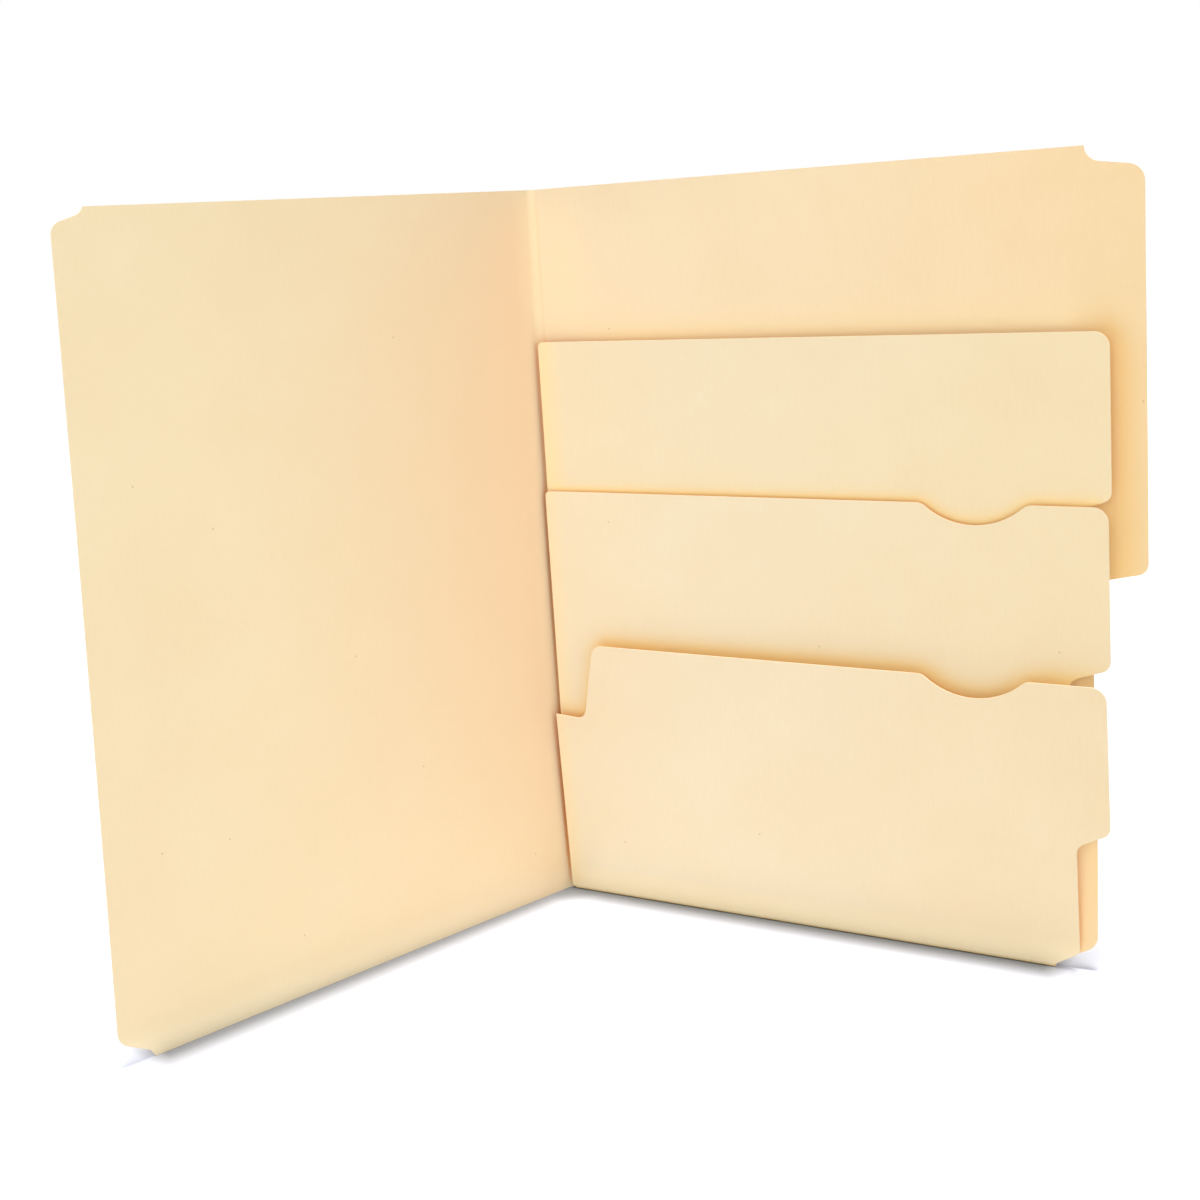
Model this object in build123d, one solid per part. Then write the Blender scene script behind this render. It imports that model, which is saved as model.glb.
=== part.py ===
from build123d import *
import os
from math import cos, radians, sin, tan

# A letter-size manila folder that stands half open, with three tiered pockets on its back cover.
# Millimetres, +Z up along the spine. While it is modelled, X runs along the back cover from the
# spine's inner corner and -Y points into the folder; at the end the folder is moved so that the
# origin is the centre of its footprint.

# Stock
sheet_thickness = 0.28
glue_thickness = 0.06

# Covers
spine_height = 298.45
cover_width = 222.25
opening_angle = 104.3
spine_fold_radius = 3.5

# Index tab on the upper half of the back cover's edge
tab_reach = 19.05
tab_foot = 149.9
tab_foot_drop = 4.0
tab_foot_radius = 4.2
tab_root_radius = 4.0

# Cut corners: how far the straight edge stops short of the side, how deep and how wide the first
# step is, the depth at which the slanted shoulder reaches the side, and the two corner radii
foot_run = 14.4
foot_step_depth = 3.0
foot_step_width = 2.0
foot_depth = 9.5
foot_step_radius = 4.0
foot_radius = 6.5

head_run = 12.35
head_step_depth = 2.2
head_step_width = 1.1
head_depth = 5.5
head_step_radius = 4.0
head_radius = 4.3

tab_head_run = 20.1
tab_head_step_depth = 5.0
tab_head_step_width = 0.5
tab_head_depth = 7.8
tab_head_step_radius = 6.0
tab_head_radius = 6.2

# Pockets: panel heights and the angles by which the panels lean away from the back cover
rear_height = 236.6
rear_top_fall = 1.2
rear_lean = 0.8
middle_height = 174.7
middle_top_fall = 0.4
middle_lean = 1.15
front_height = 111.2
front_top_fall = 0.3
front_lean = 3.8
pocket_setback = 5.05
pocket_spine_gap = 1.2
pocket_top_radius = 5.5
pocket_left_radius = 2.0

# Pocket tabs
pocket_tab_reach = 12.2
rear_tab_foot = 176.6
middle_tab_foot = 115.9
front_tab_foot = 55.5
rear_tab_drop = 4.7
middle_tab_drop = 4.7
front_tab_drop = 6.0
pocket_tab_foot_radius = 4.4
pocket_tab_root_radius = 5.0

# Lower outer corners of the pocket panels
pocket_foot_step_depth = 2.7
pocket_foot_step_width = 2.0
pocket_foot_depth = 7.0
pocket_foot_step_radius = 3.0
pocket_foot_radius = 3.5

# Thumb notches in the middle and front pockets
thumb_from_edge = 35.4
thumb_radius = 27.0
thumb_depth = 7.9
thumb_shoulder_radius = 5.0

# Relief at the front pocket's spine side
relief_height = 79.7
relief_foot_width = 14.0
relief_foot_fall = 1.0
relief_top_width = 20.6
relief_foot_radius = 4.5
relief_top_radius = 5.0

# Glue flaps, folded behind the rear and middle pocket panels
flap_start = 16.0
flap_end_inset = 3.6
flap_miter = 5.0
rear_flap_height = 12.0
middle_flap_height = 14.0
glue_margin = 2.0

# Room left inside the rear pocket's fold and between the pocket panels, and how far the covers open
rear_fold_gap = 0.40
panel_gap = 0.20
flat_angle = 180.0

# Depths behind the back cover's inside face, layer by layer
middle_flap_face = glue_thickness
rear_flap_face = middle_flap_face + sheet_thickness + glue_thickness
rear_panel_face = rear_flap_face + sheet_thickness + rear_fold_gap
middle_panel_face = rear_panel_face + sheet_thickness + panel_gap
front_panel_face = middle_panel_face + sheet_thickness + panel_gap

# Bottom folds: every fold turns about a line at the height of the outermost fold's radius
front_fold_radius = front_panel_face / 2
fold_height = front_fold_radius + sheet_thickness
fold_start = spine_fold_radius / tan(radians(opening_angle / 2))
fold_end = cover_width - foot_run
flap_end = fold_end - flap_end_inset
pocket_edge = cover_width - pocket_setback
pocket_tab_edge = pocket_edge + pocket_tab_reach
tab_edge = cover_width + tab_reach
flat_share = flat_angle / opening_angle


def cut_sheet(corners):
    """Flat face in the XZ plane from corners given as x, z and corner radius."""
    points = [(x, z) for x, z, radius in corners]
    radii = [radius for x, z, radius in corners]
    return make_face(FilletPolyline(*points, radius=radii, close=True))


def back_sheet(corners, face_depth):
    """Sheet whose rear face lies at a depth inside the back cover."""
    face = Plane.XZ.offset(face_depth) * cut_sheet(corners)
    return extrude(face, amount=sheet_thickness, dir=(0, -1, 0))


def foot_corner(side):
    """Cut corner at the foot of a cover, from the bottom edge to the side."""
    return [
        (side - foot_run + foot_step_width, foot_step_depth, foot_step_radius),
        (side, foot_depth, foot_radius),
    ]


def pocket_corners(height, fall, foot, drop):
    """Outline of a pocket panel from its fold up its tab side to the top corner."""
    return [
        (pocket_spine_gap, fold_height, 0),
        (fold_end, fold_height, 0),
        (fold_end + pocket_foot_step_width, pocket_foot_step_depth, pocket_foot_step_radius),
        (pocket_edge, pocket_foot_depth, pocket_foot_radius),
        (pocket_edge, foot - drop, pocket_tab_root_radius),
        (pocket_tab_edge, foot, pocket_tab_foot_radius),
        (pocket_tab_edge, height - fall, pocket_top_radius),
    ]


def thumb_notch(panel, height, fall, face_depth):
    """Cut the shallow round thumb notch into the top edge of a pocket panel."""
    centre = pocket_edge - thumb_from_edge
    share = (centre - pocket_spine_gap) / (pocket_tab_edge - pocket_spine_gap)
    edge_height = height - fall * share
    disc = Pos(centre, edge_height - thumb_depth + thumb_radius) * Circle(thumb_radius)
    cutter = extrude(Plane.XZ.offset(face_depth) * disc, amount=sheet_thickness, dir=(0, -1, 0))
    panel = panel - cutter
    half_chord = (thumb_radius**2 - (thumb_radius - thumb_depth) ** 2) ** 0.5
    for x in (centre - half_chord, centre + half_chord):
        corner = Vector(x, -face_depth - sheet_thickness / 2, edge_height)
        upright = panel.edges().filter_by(Axis.Y).sort_by_distance(corner)[0]
        panel = fillet(upright, thumb_shoulder_radius)
    return panel


def bottom_fold(back_depth, front_depth, lean, start, end):
    """Round fold that joins a rear leg to a pocket panel, as far round as the panel ever turns."""
    inner = (front_depth - back_depth) / 2
    outer = inner + sheet_thickness
    middle = -(front_depth + back_depth) / 2
    sweep = 180 - lean * flat_share
    ring = []
    for radius in (inner, outer):
        ring.append(CenterArc((middle, fold_height), radius, 0, -sweep))
    ends = [Line(ring[0] @ 0, ring[1] @ 0), Line(ring[0] @ 1, ring[1] @ 1)]
    section = make_face([ring[0], ends[1], ring[1], ends[0]])
    return extrude(Plane.YZ.offset(start) * section, amount=end - start, dir=(1, 0, 0))


def lean_forward(panel, back_depth, front_depth, lean):
    """Turn a pocket panel about the line its bottom fold turns about."""
    line = Axis((0, -(front_depth + back_depth) / 2, fold_height), (1, 0, 0))
    return panel.rotate(line, lean)


def flap_corners(height):
    """Glue flap with mitred ends, above its fold."""
    return [
        (flap_start, fold_height, 0),
        (flap_end, fold_height, 0),
        (flap_end - flap_miter, fold_height + height, 0),
        (flap_start + flap_miter, fold_height + height, 0),
    ]


def glue_film(height, face_depth):
    """Film of dried adhesive under a glue flap."""
    length = flap_end - flap_start - 2 * (flap_miter + glue_margin)
    tall = height - 2 * glue_margin
    centre = Pos((flap_start + flap_end) / 2, face_depth, fold_height + height / 2)
    return centre * Box(length, glue_thickness, tall)


# Back cover with the index tab on the upper half of its edge
back_cover = back_sheet(
    [(fold_start, fold_height, 0), (fold_end, fold_height, 0)]
    + foot_corner(cover_width)
    + [
        (cover_width, tab_foot - tab_foot_drop, tab_root_radius),
        (tab_edge, tab_foot, tab_foot_radius),
        (tab_edge, spine_height - tab_head_depth, tab_head_radius),
        (
            tab_edge - tab_head_run + tab_head_step_width,
            spine_height - tab_head_step_depth,
            tab_head_step_radius,
        ),
        (tab_edge - tab_head_run, spine_height, 0),
        (fold_start, spine_height, 0),
    ],
    -sheet_thickness,
)

# Front cover, cut the same but with no tab, swung open about the spine
front_cover = back_sheet(
    [(fold_start, 0, 0), (fold_end, 0, 0)]
    + foot_corner(cover_width)
    + [
        (cover_width, spine_height - head_depth, head_radius),
        (
            cover_width - head_run + head_step_width,
            spine_height - head_step_depth,
            head_step_radius,
        ),
        (cover_width - head_run, spine_height, 0),
        (fold_start, spine_height, 0),
    ],
    0,
)
front_cover = front_cover.rotate(Axis.Z, -opening_angle)

# Soft round spine fold between the two covers
spine_arcs = []
for arc_radius in (spine_fold_radius, spine_fold_radius + sheet_thickness):
    arc = CenterArc((fold_start, -spine_fold_radius), arc_radius, 90, 180 - opening_angle)
    spine_arcs.append(arc)
spine_ends = [
    Line(spine_arcs[0] @ 0, spine_arcs[1] @ 0),
    Line(spine_arcs[0] @ 1, spine_arcs[1] @ 1),
]
spine_section = make_face([spine_arcs[0], spine_ends[1], spine_arcs[1], spine_ends[0]])
spine_fold = extrude(spine_section, amount=spine_height, dir=(0, 0, 1))

# Front pocket, turned up from the foot of the back cover, with its relief at the spine
front_pocket_fold = bottom_fold(0, front_panel_face, front_lean, fold_start, fold_end)
front_panel = back_sheet(
    pocket_corners(front_height, front_top_fall, front_tab_foot, front_tab_drop)
    + [
        (pocket_spine_gap + relief_top_width, front_height, relief_top_radius),
        (
            pocket_spine_gap + relief_foot_width,
            relief_height - relief_foot_fall,
            relief_foot_radius,
        ),
        (pocket_spine_gap, relief_height, 0),
    ],
    front_panel_face,
)
front_panel = thumb_notch(front_panel, front_height, front_top_fall, front_panel_face)
front_panel = lean_forward(front_panel, 0, front_panel_face, front_lean)

# Middle pocket sheet: panel, bottom fold, glue flap and its adhesive
middle_flap_front = middle_flap_face + sheet_thickness
middle_pocket_flap = back_sheet(flap_corners(middle_flap_height), middle_flap_face)
middle_pocket_fold = bottom_fold(
    middle_flap_front, middle_panel_face, middle_lean, flap_start, flap_end
)
middle_panel = back_sheet(
    pocket_corners(middle_height, middle_top_fall, middle_tab_foot, middle_tab_drop)
    + [(pocket_spine_gap, middle_height, pocket_left_radius)],
    middle_panel_face,
)
middle_panel = thumb_notch(middle_panel, middle_height, middle_top_fall, middle_panel_face)
middle_panel = lean_forward(middle_panel, middle_flap_front, middle_panel_face, middle_lean)
middle_pocket_glue = glue_film(middle_flap_height, -glue_thickness / 2)

# Rear pocket sheet: panel, bottom fold, glue flap and its adhesive
rear_flap_front = rear_flap_face + sheet_thickness
rear_pocket_flap = back_sheet(flap_corners(rear_flap_height), rear_flap_face)
rear_pocket_fold = bottom_fold(rear_flap_front, rear_panel_face, rear_lean, flap_start, flap_end)
rear_panel = back_sheet(
    pocket_corners(rear_height, rear_top_fall, rear_tab_foot, rear_tab_drop)
    + [(pocket_spine_gap, rear_height, pocket_left_radius)],
    rear_panel_face,
)
rear_panel = lean_forward(rear_panel, rear_flap_front, rear_panel_face, rear_lean)
rear_pocket_glue = glue_film(rear_flap_height, -rear_flap_face + glue_thickness / 2)

nodes = {
    "back_cover": back_cover,
    "front_cover": front_cover,
    "spine_fold": spine_fold,
    "front_pocket_fold": front_pocket_fold,
    "front_pocket_panel": front_panel,
    "middle_pocket_flap": middle_pocket_flap,
    "middle_pocket_fold": middle_pocket_fold,
    "middle_pocket_panel": middle_panel,
    "middle_pocket_glue": middle_pocket_glue,
    "rear_pocket_flap": rear_pocket_flap,
    "rear_pocket_fold": rear_pocket_fold,
    "rear_pocket_panel": rear_panel,
    "rear_pocket_glue": rear_pocket_glue,
}

# Footprint of the folder, from the back cover and the swung front cover
front_reach = cover_width * cos(radians(opening_angle))
front_skin = sheet_thickness * sin(radians(opening_angle))
left_side = front_reach - front_skin
near_side = -cover_width * sin(radians(opening_angle))
near_skin = sheet_thickness * cos(radians(opening_angle))
near_side = near_side - max(near_skin, 0)
shift = Pos(-(left_side + tab_edge) / 2, -(near_side + sheet_thickness) / 2, 0)

os.makedirs("parts", exist_ok=True)
for name, shape in nodes.items():
    export_step(shift * shape, os.path.join("parts", name + ".step"))
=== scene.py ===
from math import cos, pi, radians, sin, tan

import bpy
from mathutils import Matrix, Vector


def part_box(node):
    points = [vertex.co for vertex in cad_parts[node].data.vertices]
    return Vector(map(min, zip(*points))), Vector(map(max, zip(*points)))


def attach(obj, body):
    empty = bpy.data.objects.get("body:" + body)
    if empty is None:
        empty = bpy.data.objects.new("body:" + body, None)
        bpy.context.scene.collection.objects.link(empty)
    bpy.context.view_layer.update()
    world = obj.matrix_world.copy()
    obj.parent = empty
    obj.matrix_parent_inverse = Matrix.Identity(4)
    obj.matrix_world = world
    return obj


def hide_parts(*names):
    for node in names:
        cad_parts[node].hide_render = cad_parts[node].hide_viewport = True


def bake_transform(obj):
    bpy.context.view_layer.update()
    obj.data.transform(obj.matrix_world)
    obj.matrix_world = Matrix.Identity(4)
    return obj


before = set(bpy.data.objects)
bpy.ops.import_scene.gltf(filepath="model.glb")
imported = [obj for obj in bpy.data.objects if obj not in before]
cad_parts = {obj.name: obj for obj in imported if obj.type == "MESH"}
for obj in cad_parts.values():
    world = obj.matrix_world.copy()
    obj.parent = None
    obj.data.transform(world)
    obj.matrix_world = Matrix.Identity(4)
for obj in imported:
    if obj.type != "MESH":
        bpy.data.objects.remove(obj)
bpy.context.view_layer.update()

# The folder in metres. "corner" is the foot of the line where the two covers' inside faces would
# meet; the back cover runs from it along +X, and the front cover along "front_way".
MM = 0.001
OPENING = radians(104.3)
SPINE_HEIGHT = 298.45 * MM
COVER_WIDTH = 222.25 * MM
TAB_REACH = 241.3 * MM
POCKET_WIDTH = 229 * MM
FOLD_HEIGHT = 1.3 * MM
corner = Vector((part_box("back_cover")[1].x - TAB_REACH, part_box("back_cover")[0].y, 0))
back_way = Vector((1, 0, 0))
back_inside = Vector((0, -1, 0))
front_way = Vector((cos(OPENING), -sin(OPENING), 0))
front_inside = Vector((sin(OPENING), cos(OPENING), 0))
up = Vector((0, 0, 1))

# How the sheets are cut up before they are bowed: the side of a face, the cuts across the spine,
# what is welded, and up to what angle faces are shaded as one
NET_PITCH = 10 * MM
SPINE_CUTS = 20
WELD = 0.02 * MM
SMOOTH = radians(30)
# room for a panel's foot to turn on its fold as the pocket opens
CREASE_GAP = 0.03 * MM
# how much of a pocket's width, from the spine, is held back from leaning
POCKET_HOLD = 25 * MM

# Rays that feel for a sheltering sheet
SKY_RAYS = 8


def linear(hex_colour):
    """sRGB hex to linear RGBA."""
    parts = [int(hex_colour[i:i + 2], 16) / 255 for i in (1, 3, 5)]
    return [p / 12.92 if p <= 0.04045 else ((p + 0.055) / 1.055) ** 2.4 for p in parts] + [1.0]


def add(tree, kind, settings=(), links=()):
    """One node with its settings and the sockets that feed it."""
    node = tree.nodes.new(kind)
    for name, value in dict(settings).items():
        if isinstance(name, int) or name in node.inputs:
            node.inputs[name].default_value = value
        else:
            setattr(node, name, value)
    for name, socket in dict(links).items():
        tree.links.new(socket, node.inputs[name])
    return node


def new_material(name):
    """An empty material and its nodes."""
    material = bpy.data.materials.new(name)
    material.use_nodes = True
    material.node_tree.nodes.clear()
    return material, material.node_tree


# Manila stock: uncoated, machine-finished board of unbleached fibre. The eye sees a warm buff with
# faint clouds where the pulp lay thicker, short fibres that run with the grain along the spine, and
# a rare brown fleck of bark. It is matt, with a faint tooth, and a little deeper in tone away from
# the spine. Its foot is painted paler, a painted light against the shade near the floor. Where
# another sheet stands close it is painted in another tone, mostly a deeper orange, a painted shade,
# and deeper still in a narrow gap.
def manila_stock(
    name, *, light, shade, far_tone, shade_tones, gap, along, start, shelter, full, clear
):
    """Board between two tones, light and shade, that runs from the spine in the direction along.

    far_tone tints its far edge. shade_tones are painted shade where another sheet is close, first
    on the panel and then on the tab, and gap is painted shade in a narrow gap. start is where in
    the pattern it was cut. The painted shade is felt for as far as shelter, is full where only the
    share full of the sky is open, and comes in between the two distances from the spine in clear.
    """
    material, tree = new_material(name)
    place = add(tree, "ShaderNodeTexCoord").outputs["Object"]
    across = add(tree, "ShaderNodeVectorMath", {"operation": "DOT_PRODUCT", 1: along}, {0: place})
    reach = across.outputs["Value"]
    height = add(tree, "ShaderNodeSeparateXYZ", {}, {0: place}).outputs["Z"]
    spread = add(tree, "ShaderNodeCombineXYZ", {"Z": start}, {"X": reach, "Y": height})
    flat = spread.outputs[0]
    spine = corner.dot(along)
    # clouds about 45 mm across
    clouds = add(
        tree,
        "ShaderNodeTexNoise",
        {"Scale": 1000 / 45, "Detail": 3.0, "Roughness": 0.55},
        {"Vector": flat},
    )
    # fibres about 0.8 mm wide and 6 mm long, several times their real width so that they show
    combed = add(
        tree,
        "ShaderNodeMapping",
        {"Scale": (1000 / 0.8, 1000 / 6.0, 1.0)},
        {"Vector": flat},
    )
    fibres = add(
        tree,
        "ShaderNodeTexNoise",
        {"Scale": 1.0, "Detail": 2.0, "Roughness": 0.6},
        {"Vector": combed.outputs[0]},
    )
    mixed = add(
        tree,
        "ShaderNodeMath",
        {"operation": "MULTIPLY_ADD", 1: 0.55},
        {0: fibres.outputs["Fac"], 2: clouds.outputs["Fac"]},
    )
    amount = add(
        tree,
        "ShaderNodeMapRange",
        {"From Min": 0.50, "From Max": 1.05},
        {"Value": mixed.outputs[0]},
    )
    paper = add(
        tree,
        "ShaderNodeMix",
        {"data_type": "RGBA", 6: linear(shade), 7: linear(light)},
        {0: amount.outputs[0]},
    )
    # the tone deepens away from the spine
    outward = add(
        tree,
        "ShaderNodeMapRange",
        {"From Min": spine + 60 * MM, "From Max": spine + 241 * MM},
        {"Value": reach},
    )
    toned = add(
        tree,
        "ShaderNodeMix",
        {"data_type": "RGBA", "blend_type": "MULTIPLY", 7: linear(far_tone)},
        {0: outward.outputs[0], 6: paper.outputs[2]},
    )
    # the foot is painted paler over its last 14 mm, a painted light against the shade near the
    # floor
    foot = add(
        tree,
        "ShaderNodeMapRange",
        {"interpolation_type": "SMOOTHSTEP", "From Min": 14 * MM, "From Max": 0.0, "To Max": 0.8},
        {"Value": height},
    )
    foot_painted_light = add(
        tree,
        "ShaderNodeMix",
        {"data_type": "RGBA", 7: linear("#FFEFCA")},
        {0: foot.outputs[0], 6: toned.outputs[2]},
    )
    # painted shade where another sheet is close: how much open sky a place sees, with what the
    # floor alone hides from an upright sheet, up to half the sky, given back
    sky = add(tree, "ShaderNodeAmbientOcclusion", {"samples": SKY_RAYS, "Distance": shelter})
    near_floor = add(
        tree,
        "ShaderNodeMapRange",
        {"From Max": shelter, "To Min": 1.0, "To Max": 0.0},
        {"Value": height},
    )
    hidden = add(
        tree, "ShaderNodeMath", {"operation": "POWER", 1: 1.4}, {0: near_floor.outputs[0]}
    )
    open_sky = add(
        tree,
        "ShaderNodeMath",
        {"operation": "MULTIPLY_ADD", 1: 0.5},
        {0: hidden.outputs[0], 2: sky.outputs["AO"]},
    )
    under_cover = add(
        tree,
        "ShaderNodeMapRange",
        {"From Min": 0.97, "From Max": full},
        {"Value": open_sky.outputs[0]},
    )
    off_spine = add(
        tree,
        "ShaderNodeMapRange",
        {"From Min": spine + clear[0], "From Max": spine + clear[1]},
        {"Value": reach},
    )
    covered = add(
        tree,
        "ShaderNodeMath",
        {"operation": "MULTIPLY"},
        {0: under_cover.outputs[0], 1: off_spine.outputs[0]},
    )
    on_tab = add(
        tree,
        "ShaderNodeMapRange",
        {"From Min": spine + 214 * MM, "From Max": spine + 230 * MM},
        {"Value": reach},
    )
    deep_tone = add(
        tree,
        "ShaderNodeMix",
        {"data_type": "RGBA", 6: linear(shade_tones[0]), 7: linear(shade_tones[1])},
        {0: on_tab.outputs[0]},
    )
    shaded_board = add(
        tree,
        "ShaderNodeMix",
        {"data_type": "RGBA"},
        {0: covered.outputs[0], 6: foot_painted_light.outputs[2], 7: deep_tone.outputs[2]},
    )
    # painted shade in a gap a few millimetres wide, felt for within 8 mm, but not in the one under
    # the foot
    slit = add(tree, "ShaderNodeAmbientOcclusion", {"samples": SKY_RAYS, "Distance": 8 * MM})
    narrow = add(
        tree,
        "ShaderNodeMapRange",
        {"From Min": 0.56, "From Max": 0.33},
        {"Value": slit.outputs["AO"]},
    )
    off_floor = add(
        tree, "ShaderNodeMapRange", {"From Min": 2 * MM, "From Max": 10 * MM}, {"Value": height}
    )
    enclosed = add(
        tree,
        "ShaderNodeMath",
        {"operation": "MULTIPLY"},
        {0: narrow.outputs[0], 1: off_floor.outputs[0]},
    )
    # beside the spine, where the gap is closed on every side, the painted shade is deeper still
    gap_tone = add(
        tree,
        "ShaderNodeMix",
        {"data_type": "RGBA", 6: linear("#F08A1C"), 7: linear(gap)},
        {0: off_spine.outputs[0]},
    )
    deepened = add(
        tree,
        "ShaderNodeMix",
        {"data_type": "RGBA"},
        {0: enclosed.outputs[0], 6: shaded_board.outputs[2], 7: gap_tone.outputs[2]},
    )
    # bark flecks about 0.8 mm long, in one of every eight cells of 30 mm
    scattered = add(
        tree,
        "ShaderNodeMapping",
        {"Scale": (1000 / 30, 1000 / 30, 0.0), "Location": (start * 10, start * 7, 0.0)},
        {"Vector": flat},
    )
    nearest = add(
        tree,
        "ShaderNodeTexVoronoi",
        {"voronoi_dimensions": "2D", "Scale": 1.0, "Randomness": 1.0},
        {"Vector": scattered.outputs[0]},
    )
    fleck = add(
        tree,
        "ShaderNodeMapRange",
        {"From Min": 0.008, "From Max": 0.016, "To Min": 0.45, "To Max": 0.0},
        {"Value": nearest.outputs["Distance"]},
    )
    draw = add(tree, "ShaderNodeSeparateXYZ", {}, {0: nearest.outputs["Color"]})
    chosen = add(
        tree, "ShaderNodeMath", {"operation": "GREATER_THAN", 1: 0.87}, {0: draw.outputs["X"]}
    )
    rare = add(
        tree,
        "ShaderNodeMath",
        {"operation": "MULTIPLY"},
        {0: fleck.outputs[0], 1: chosen.outputs[0]},
    )
    coloured = add(
        tree,
        "ShaderNodeMix",
        {"data_type": "RGBA", 7: linear("#B08A55")},
        {0: rare.outputs[0], 6: deepened.outputs[2]},
    )
    # tooth about 0.9 mm across, coarser than the real one so that it shows, and 0.08 mm deep
    tooth = add(
        tree, "ShaderNodeTexNoise", {"Scale": 1000 / 0.9, "Detail": 2.0}, {"Vector": flat}
    )
    relief = add(
        tree,
        "ShaderNodeBump",
        {"Strength": 0.12, "Distance": 0.08 * MM},
        {"Height": tooth.outputs["Fac"]},
    )
    surface = add(
        tree,
        "ShaderNodeBsdfPrincipled",
        {"Roughness": 0.72, "IOR": 1.45, "Specular IOR Level": 0.4},
        {"Base Color": coloured.outputs[2], "Normal": relief.outputs[0]},
    )
    add(tree, "ShaderNodeOutputMaterial", {}, {"Surface": surface.outputs[0]})
    return material


# Die-cut edge: the same board seen end on, paler and fuzzier where the knife parted the fibres
def cut_edge(name, light, shade):
    """The board's cut edge, between two tones."""
    material, tree = new_material(name)
    place = add(tree, "ShaderNodeTexCoord").outputs["Object"]
    # torn fibres about 0.5 mm apart
    fuzz = add(tree, "ShaderNodeTexNoise", {"Scale": 1000 / 0.5, "Detail": 2.0}, {"Vector": place})
    paper = add(
        tree,
        "ShaderNodeMix",
        {"data_type": "RGBA", 6: linear(shade), 7: linear(light)},
        {0: fuzz.outputs["Fac"]},
    )
    surface = add(
        tree,
        "ShaderNodeBsdfPrincipled",
        {"Roughness": 0.9, "IOR": 1.45, "Specular IOR Level": 0.15},
        {"Base Color": paper.outputs[2]},
    )
    add(tree, "ShaderNodeOutputMaterial", {}, {"Surface": surface.outputs[0]})
    return material


# Dried white glue: a thin film rolled on, cream where it soaked in, smooth with a low gloss
def dried_glue(name, light, shade):
    """The glue under the flaps, between two tones."""
    material, tree = new_material(name)
    place = add(tree, "ShaderNodeTexCoord").outputs["Object"]
    # ripples about 4 mm across
    ripple = add(tree, "ShaderNodeTexNoise", {"Scale": 1000 / 4, "Detail": 1.0}, {"Vector": place})
    film = add(
        tree,
        "ShaderNodeMix",
        {"data_type": "RGBA", 6: linear(shade), 7: linear(light)},
        {0: ripple.outputs["Fac"]},
    )
    surface = add(
        tree,
        "ShaderNodeBsdfPrincipled",
        {"Roughness": 0.45, "IOR": 1.46},
        {"Base Color": film.outputs[2]},
    )
    add(tree, "ShaderNodeOutputMaterial", {}, {"Surface": surface.outputs[0]})
    return material


# Studio floor: matt white paper, with a painted contact shadow close to what stands on it
def floor_paper(name, light, shade):
    """The floor's paper, between its tone in the open and a painted contact shadow beside the
    covers' feet.
    """
    material, tree = new_material(name)
    place = add(tree, "ShaderNodeTexCoord").outputs["Object"]
    # the covers' feet end 208 mm from the spine, and the painted contact shadow with them
    from_spine = add(tree, "ShaderNodeVectorMath", {"operation": "DISTANCE", 1: corner}, {0: place})
    past_foot = add(
        tree,
        "ShaderNodeMapRange",
        {"From Min": 204 * MM, "From Max": 213 * MM},
        {"Value": from_spine.outputs["Value"]},
    )
    # the painted contact shadow falls where something stands within 17 mm
    near = add(tree, "ShaderNodeAmbientOcclusion", {"samples": SKY_RAYS, "Distance": 17 * MM})
    open_floor = add(
        tree,
        "ShaderNodeMapRange",
        {"From Min": 0.58, "From Max": 1.0},
        {"Value": near.outputs["AO"]},
    )
    unshadowed = add(
        tree,
        "ShaderNodeMath",
        {"operation": "MAXIMUM"},
        {0: open_floor.outputs[0], 1: past_foot.outputs[0]},
    )
    paper = add(
        tree,
        "ShaderNodeMix",
        {"data_type": "RGBA", 6: linear(shade), 7: linear(light)},
        {0: unshadowed.outputs[0]},
    )
    surface = add(
        tree, "ShaderNodeBsdfPrincipled", {"Roughness": 0.9}, {"Base Color": paper.outputs[2]}
    )
    add(tree, "ShaderNodeOutputMaterial", {}, {"Surface": surface.outputs[0]})
    return material


# The covers and spine are one sheet, each with its own copy of the board: the front cover's is a
# little darker than the back's, a painted shade. On it a painted shade deepens towards the spine,
# and a painted orange shade fills the gaps by the pockets.
cover_front = manila_stock(
    "manila_board_front",
    light="#F1DEB4",
    shade="#EFD9AC",
    far_tone="#FFFFFF",
    shade_tones=("#ECCBA2", "#ECCBA2"),
    gap="#F09430",
    along=front_way,
    start=0.0,
    shelter=180 * MM,
    full=0.70,
    clear=(-5 * MM, 12 * MM),
)
# On the back cover, where a pocket stands close, the panel is painted lighter, a painted light
# against the shade there, and the tab a deeper orange, a painted shade; gaps get a painted orange
# shade.
cover_back = manila_stock(
    "manila_board_back",
    light="#F3DFB9",
    shade="#F1DAB1",
    far_tone="#FCF3E2",
    shade_tones=("#FFE6B2", "#F0CB88"),
    gap="#FFC070",
    along=back_way,
    start=0.3,
    shelter=30 * MM,
    full=0.85,
    clear=(3 * MM, 40 * MM),
)
# In the spine's hollow and its gaps the board is painted a deeper orange, a painted shade.
board_spine = manila_stock(
    "manila_board_spine",
    light="#F1DEB6",
    shade="#EFDAAE",
    far_tone="#FFFFFF",
    shade_tones=("#F0C690", "#F0C690"),
    gap="#F09430",
    along=back_way,
    start=0.5,
    shelter=8 * MM,
    full=0.35,
    clear=(-20 * MM, -10 * MM),
)
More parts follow.
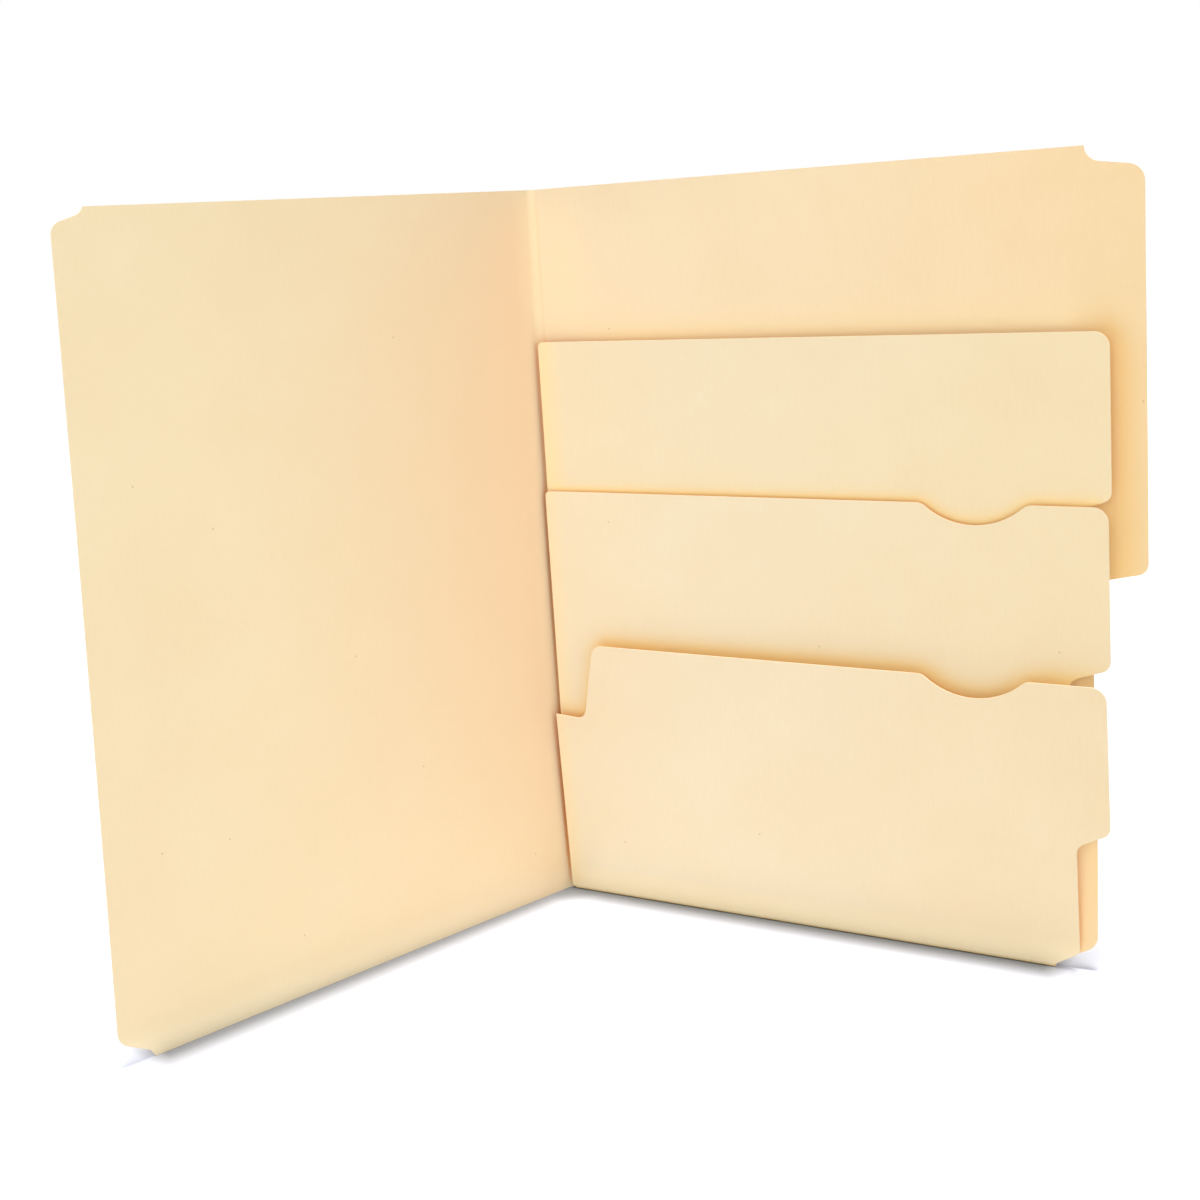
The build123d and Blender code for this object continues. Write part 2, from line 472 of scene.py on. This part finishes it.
# Above a pocket that stands in front, each pocket is painted a deeper orange, a painted shade, and
# deeper still in a gap. The front pocket's board is a hair paler than the others', a painted light.
pocket_rear, pocket_middle, pocket_front = (
    manila_stock(
        name,
        light=light,
        shade=shade,
        far_tone="#FDF6E8",
        shade_tones=("#FFE19C", "#FFE19C"),
        gap="#FFC070",
        along=back_way,
        start=start,
        shelter=shelter,
        full=full,
        clear=(-8 * MM, 10 * MM),
    )
    for name, light, shade, start, shelter, full in (
        ("manila_pocket_rear", "#EEE0BE", "#ECDBB6", 0.7, 15 * MM, 0.76),
        ("manila_pocket_middle", "#EEE0BF", "#ECDBB7", 1.1, 12 * MM, 0.65),
        ("manila_pocket_front", "#EFE0C0", "#EDDBB8", 1.5, 12 * MM, 0.70),
    )
)
edge = cut_edge("manila_cut_edge", light="#FBEED4", shade="#F5E2BC")


def open_copy(node, name, *finishes):
    """A copy of a CAD sheet with its own finishes, welded and open in edit mode."""
    bpy.ops.object.select_all(action="DESELECT")
    piece = bpy.data.objects.new(name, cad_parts[node].data.copy())
    bpy.context.scene.collection.objects.link(piece)
    piece.data.materials.clear()
    for finish in finishes:
        piece.data.materials.append(finish)
    bpy.context.view_layer.objects.active = piece
    piece.select_set(True)
    bpy.ops.object.mode_set(mode="EDIT")
    bpy.ops.mesh.customdata_custom_splitnormals_clear()
    bpy.ops.mesh.select_all(action="SELECT")
    bpy.ops.mesh.remove_doubles(threshold=WELD)
    return piece


def cut_evenly(direction, low, high, count):
    """Cuts across the open sheet that part it into equal strips between low and high."""
    for i in range(1, count):
        bpy.ops.mesh.select_all(action="SELECT")
        point = corner + direction * (low + (high - low) * i / count)
        bpy.ops.mesh.bisect(plane_co=point, plane_no=direction)


def sheet_from(node, name, way, inside, board, bend, slide=None, lift=0.0):
    """A bent sheet: the CAD sheet's outline, cut into a net of small faces and bowed."""
    piece = open_copy(node, name, board, edge)
    reaches = [(v.co - corner).dot(way) for v in piece.data.vertices]
    heights = [v.co.z for v in piece.data.vertices]
    for direction, places in ((way, reaches), (up, heights)):
        low, high = min(places), max(places)
        cut_evenly(direction, low, high, max(2, round((high - low) / NET_PITCH)))
    bpy.ops.object.mode_set(mode="OBJECT")
    for face in piece.data.polygons:
        broad = abs(face.normal.dot(inside)) > 0.5
        face.material_index = 0 if broad else 1
    for v in piece.data.vertices:
        reach, height = (v.co - corner).dot(way), v.co.z
        v.co += inside * bend(reach, height)
        if slide:
            v.co += way * slide(reach, height)
        v.co.z += lift
    bpy.ops.object.shade_smooth_by_angle(angle=SMOOTH)
    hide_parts(node)
    return piece


def ease(share):
    """Smooth step from 0 to 1."""
    share = min(max(share, 0.0), 1.0)
    return share * share * (3 - 2 * share)


def front_bend(reach, height):
    """The front cover stands a little more open at its foot than at its head, and bows in."""
    # degrees open at the foot, and how many fewer at the head
    foot_opening, head_less = 105.88, 3.15
    share = height / SPINE_HEIGHT
    twist = radians(foot_opening - head_less * share) - OPENING
    bow = 0.6 * MM * sin(pi * share) * (reach / COVER_WIDTH) ** 2
    return bow - reach * tan(twist) * ease(reach / (30 * MM))


def back_bend(reach, height):
    """The back cover bows out by a hair. Its free side leans back, and forward at its head."""
    share = height / SPINE_HEIGHT
    bow = -0.5 * MM * sin(pi * share) * sin(pi * min(reach / COVER_WIDTH, 1.0))
    free = ease((reach - 60 * MM) / (180 * MM))
    back_lean = -1.4 * MM * ease(height / (45 * MM))
    head_lean = 2.1 * MM * ease((height - 170 * MM) / (128 * MM))
    return bow + free * (back_lean + head_lean)


def free_side(reach):
    """0 on most of a sheet, easing to 1 on the side away from the spine."""
    return ease((reach - 150 * MM) / (60 * MM))


def back_slide(reach, height):
    """The back cover's free side stands a hair further out at its foot."""
    low = 1 - ease((height - 60 * MM) / (60 * MM))
    return 0.7 * MM * free_side(reach) * low


def pocket_bend(spine_lean, tab_lean, bulge, top):
    """A pocket panel that leans out more at its tab than at the spine, where it holds back.

    The leans are in degrees.
    """
    def bend(reach, height):
        share = reach / POCKET_WIDTH
        tall = max(height - FOLD_HEIGHT, 0.0)
        lean = radians(spine_lean + (tab_lean - spine_lean) * share)
        bow = bulge * sin(pi * min(max(share, 0.0), 1.0)) * ease(tall / top)
        return tall * tan(lean) * ease(reach / POCKET_HOLD) + bow
    return bend


def pocket_slide(near, far, body, tab_foot):
    """A panel's spine edge, its tab and the side below its tab, each moved a hair outwards."""
    def slide(reach, height):
        above = ease((height - tab_foot) / (6 * MM) + 1)
        outer = free_side(reach) * (body + (far - body) * above)
        return outer - near * (1 - ease(reach / (15 * MM)))
    return slide


front_sheet = sheet_from(
    "front_cover", "front_cover_sheet", front_way, front_inside, cover_front, front_bend
)
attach(front_sheet, "front")
back_sheet = sheet_from(
    "back_cover", "back_cover_sheet", back_way, back_inside, cover_back, back_bend, back_slide
)
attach(back_sheet, "back")
rear_sheet = sheet_from(
    "rear_pocket_panel",
    "rear_pocket_sheet",
    back_way,
    back_inside,
    pocket_rear,
    pocket_bend(spine_lean=-0.25, tab_lean=0.15, bulge=0.25 * MM, top=236 * MM),
    pocket_slide(near=-0.45 * MM, far=0.9 * MM, body=-3.0 * MM, tab_foot=176.6 * MM),
    CREASE_GAP,
)
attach(rear_sheet, "rear_pocket")
middle_sheet = sheet_from(
    "middle_pocket_panel",
    "middle_pocket_sheet",
    back_way,
    back_inside,
    pocket_middle,
    pocket_bend(spine_lean=-0.20, tab_lean=0.45, bulge=0.25 * MM, top=174 * MM),
    pocket_slide(near=-0.1 * MM, far=0.3 * MM, body=-2.0 * MM, tab_foot=115.9 * MM),
    CREASE_GAP,
)
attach(middle_sheet, "middle_pocket")
pocket_sheet = sheet_from(
    "front_pocket_panel",
    "front_pocket_sheet",
    back_way,
    back_inside,
    pocket_front,
    pocket_bend(spine_lean=-0.3, tab_lean=0.6, bulge=0.3 * MM, top=111 * MM),
    pocket_slide(near=-0.25 * MM, far=0.0, body=0.0, tab_foot=55.5 * MM),
    CREASE_GAP,
)
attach(pocket_sheet, "front_pocket")


def spine_strip():
    """The soft round fold between the covers, cut into bands up its height; on the folder it bends
    as they open and close.
    """
    piece = open_copy("spine_fold", "spine_strip", board_spine)
    cut_evenly(up, 0.0, SPINE_HEIGHT, SPINE_CUTS)
    bpy.ops.object.mode_set(mode="OBJECT")
    bpy.ops.object.shade_smooth_by_angle(angle=SMOOTH)
    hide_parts("spine_fold")
    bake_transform(piece)


spine_strip()

# The folds, flaps and adhesive that stay as they are in the CAD model
glue = dried_glue("dried_white_glue", light="#F3ECD9", shade="#E9DFC4")
finishes = {
    "front_pocket_fold": pocket_front,
    "middle_pocket_fold": pocket_middle,
    "middle_pocket_flap": pocket_middle,
    "middle_pocket_glue": glue,
    "rear_pocket_fold": pocket_rear,
    "rear_pocket_flap": pocket_rear,
    "rear_pocket_glue": glue,
}
for node, finish in finishes.items():
    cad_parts[node].data.materials.clear()
    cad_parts[node].data.materials.append(finish)

# Studio: a pale floor in a white tent, a lamp overhead that whitens the floor, a broad soft lamp in
# front for the back cover and its pockets, another at the side for the front cover, and one behind
# for the outside of both covers. Lengths are in metres.
FLOOR_SIZE = 60
FLOOR_DROP = 0.03 * MM
TENT_LIGHT = 0.3
bpy.ops.object.select_all(action="DESELECT")
bpy.ops.mesh.primitive_plane_add(size=FLOOR_SIZE, location=(0, 0, -FLOOR_DROP))
floor = bpy.context.object
floor.name = "studio_floor"
floor.data.materials.append(floor_paper("studio_white", light="#DADDE8", shade="#7E8084"))

# The tent lights the folder softly, and the camera sees it white
scene = bpy.context.scene
scene.view_settings.view_transform = "Standard"
tent = bpy.data.worlds.new("white_tent")
scene.world = tent
tent.use_nodes = True
tent.node_tree.nodes.clear()
ray = add(tent.node_tree, "ShaderNodeLightPath")
glow = add(
    tent.node_tree,
    "ShaderNodeMapRange",
    {"To Min": TENT_LIGHT},
    {"Value": ray.outputs["Is Camera Ray"]},
)
white = add(
    tent.node_tree,
    "ShaderNodeBackground",
    {"Color": linear("#FFFFFF")},
    {"Strength": glow.outputs[0]},
)
add(tent.node_tree, "ShaderNodeOutputWorld", {}, {"Surface": white.outputs[0]})


def hang(name, kind, energy, place, aim):
    """A lamp at a place, turned to what it lights."""
    lamp = bpy.data.objects.new(name, bpy.data.lights.new(name, kind))
    scene.collection.objects.link(lamp)
    lamp.data.energy = energy
    lamp.location = place
    lamp.rotation_mode = "QUATERNION"
    lamp.rotation_quaternion = (aim - lamp.location).to_track_quat("-Z", "Y")
    return lamp.data


half_up = up * 0.15
overhead = hang("overhead", "SUN", 3.75, half_up + Vector((0.050, -0.055, 1)), half_up)
overhead.angle = radians(11)
# each soft lamp's watts and width, and its place and aim from the corner
for name, watts, width, place, aim in (
    ("front_soft", 10.6, 1.4, Vector((0.35, -1.9, 1.0)), back_way * 0.1 + half_up),
    ("side_soft", 7.6, 1.2, Vector((1.9, -0.9, 0.6)), front_way * 0.11 + half_up),
    ("back_soft", 11, 1.2, Vector((-0.9, 1.6, 0.9)), half_up),
):
    lamp = hang(name, "AREA", watts, corner + place, corner + aim)
    lamp.shape = "SQUARE"
    lamp.size = width

# Camera: 52 mm lens, level with the folder's head, looking down a little at the open corner. The
# focal length and the point straight ahead are in pixels of the square picture.
PICTURE = 1200
FOCAL = 1737.09
AHEAD_X, AHEAD_Y = 514.02, 516.79
FILM = 36
EYE_PLACE = Vector((373.28, -617.96, 279.27)) * MM
yaw, pitch, roll = radians(32.355), radians(9.075), radians(-3.66)
right = Vector((cos(yaw), sin(yaw), 0))
ahead = Vector((-sin(yaw), cos(yaw), 0))
look = ahead * cos(pitch) - up * sin(pitch)
top = up * cos(pitch) + ahead * sin(pitch)
side = right * cos(roll) + top * sin(roll)
head = top * cos(roll) - right * sin(roll)
eye = bpy.data.cameras.new("camera")
eye.sensor_width = FILM
eye.lens = FILM * FOCAL / PICTURE
eye.shift_x = (PICTURE / 2 - AHEAD_X) / PICTURE
eye.shift_y = (AHEAD_Y - PICTURE / 2) / PICTURE
camera = bpy.data.objects.new("camera", eye)
scene.collection.objects.link(camera)
place = corner + EYE_PLACE
camera.matrix_world = Matrix(
    (
        (side.x, head.x, -look.x, place.x),
        (side.y, head.y, -look.y, place.y),
        (side.z, head.z, -look.z, place.z),
        (0, 0, 0, 1),
    )
)
scene.camera = camera
